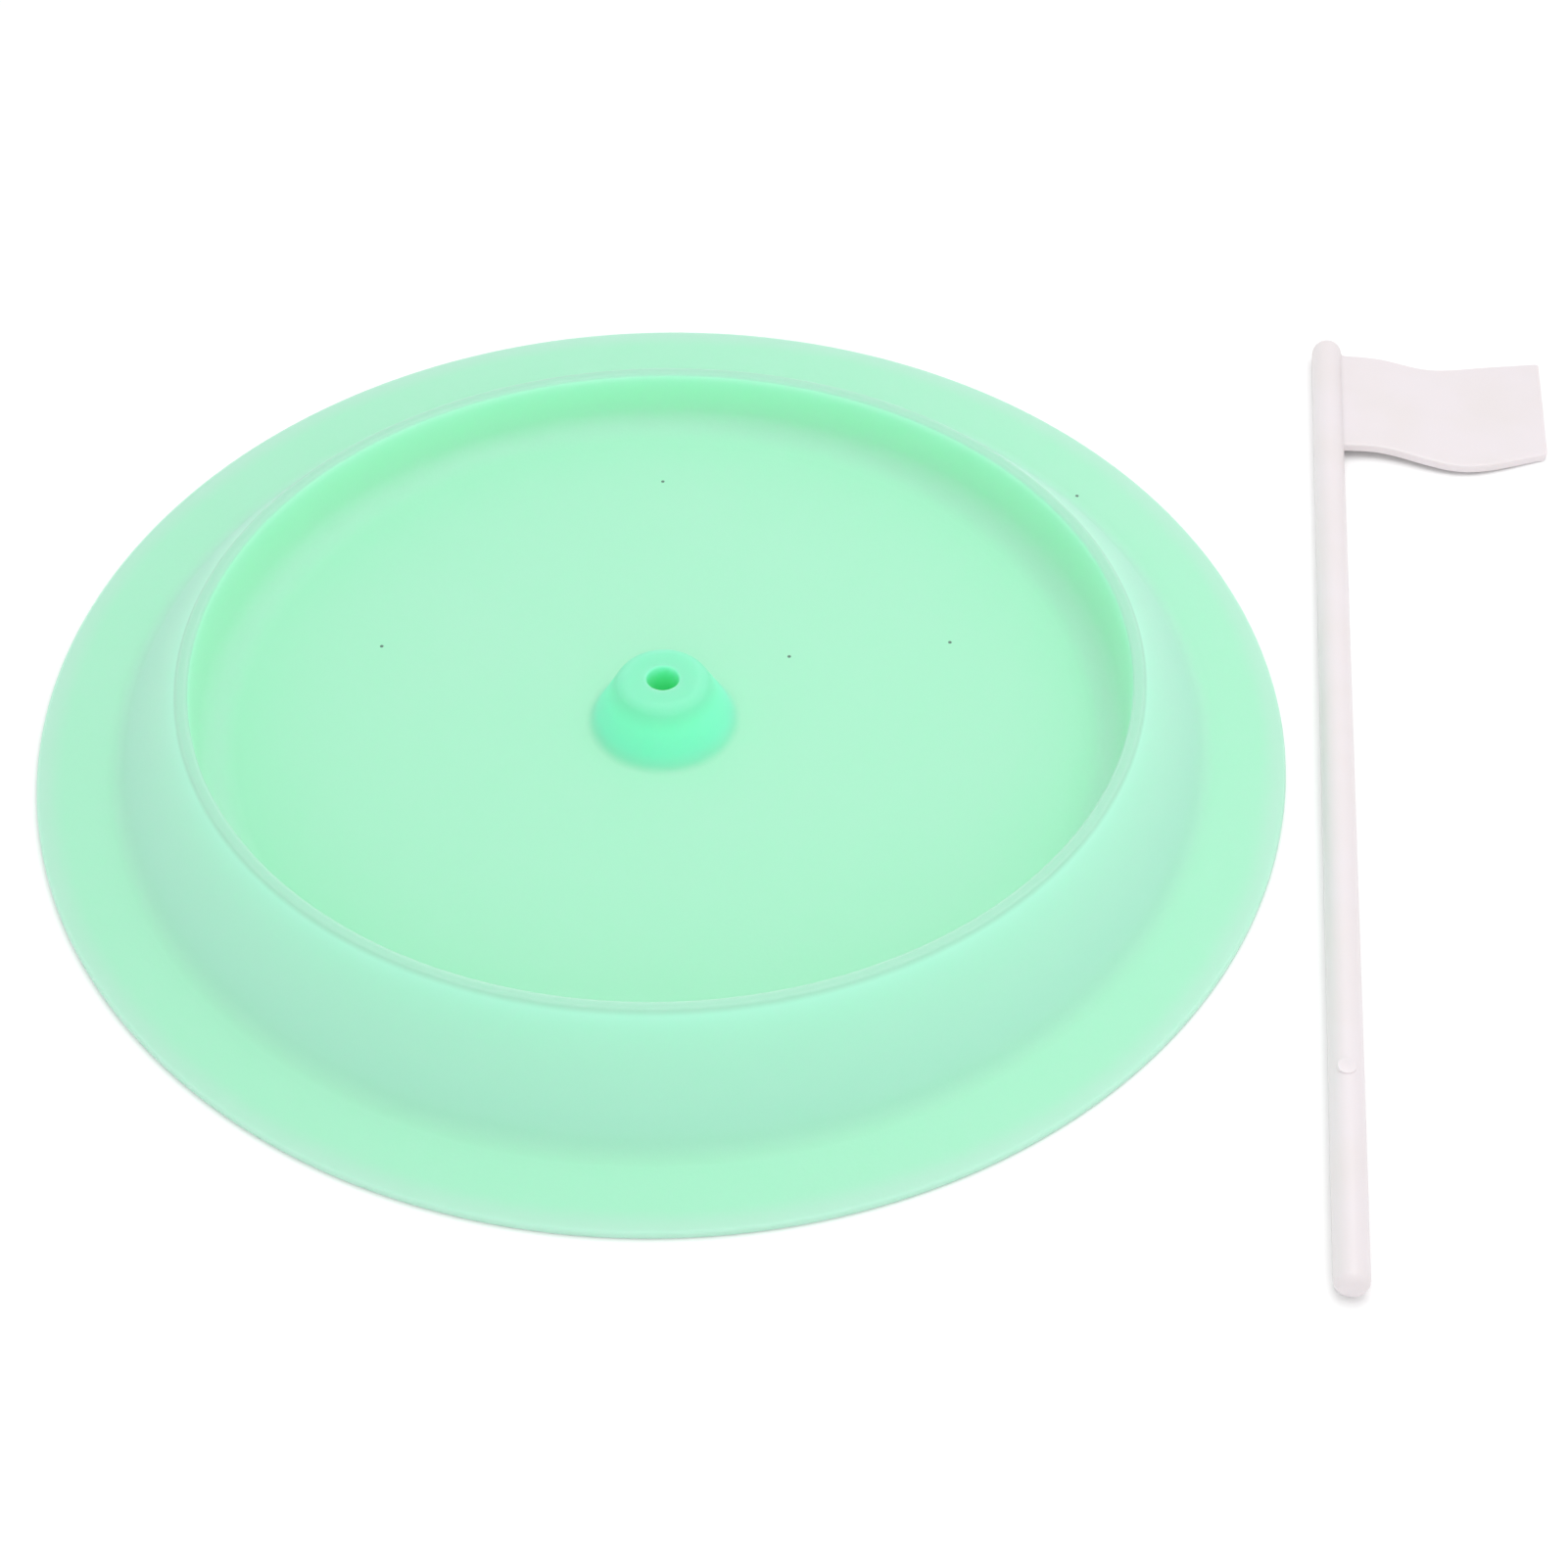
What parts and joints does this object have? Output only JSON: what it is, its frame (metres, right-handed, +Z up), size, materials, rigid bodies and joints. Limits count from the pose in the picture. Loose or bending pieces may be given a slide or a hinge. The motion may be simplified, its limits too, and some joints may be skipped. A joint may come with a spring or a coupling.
{
  "type": "putting cup",
  "caption": "Soft round practice putting cup with a thin ramp rim and a centre boss, beside the small pole flag that plugs into it.",
  "frame": {"origin": "on the cup's axis, on the flat face it rests on", "axes": "+Z up out of the cup's mouth along its axis, +X towards the flag, +Y towards the flag's tip end"},
  "size_m": [0.1863, 0.1521, 0.0155],
  "materials": {
    "mint_silicone": "translucent satin",
    "white_plastic": "satin moulded"
  },
  "bodies": {
    "cup": {"putting_cup": "mint_silicone"},
    "flag": {"pin_flag": "white_plastic"}
  },
  "joints": [
    {"name": "flag_lift", "type": "slide", "parent": "cup", "child": "flag", "axis": [0, 0, 1], "range_m": [0, 0.04]}
  ]
}
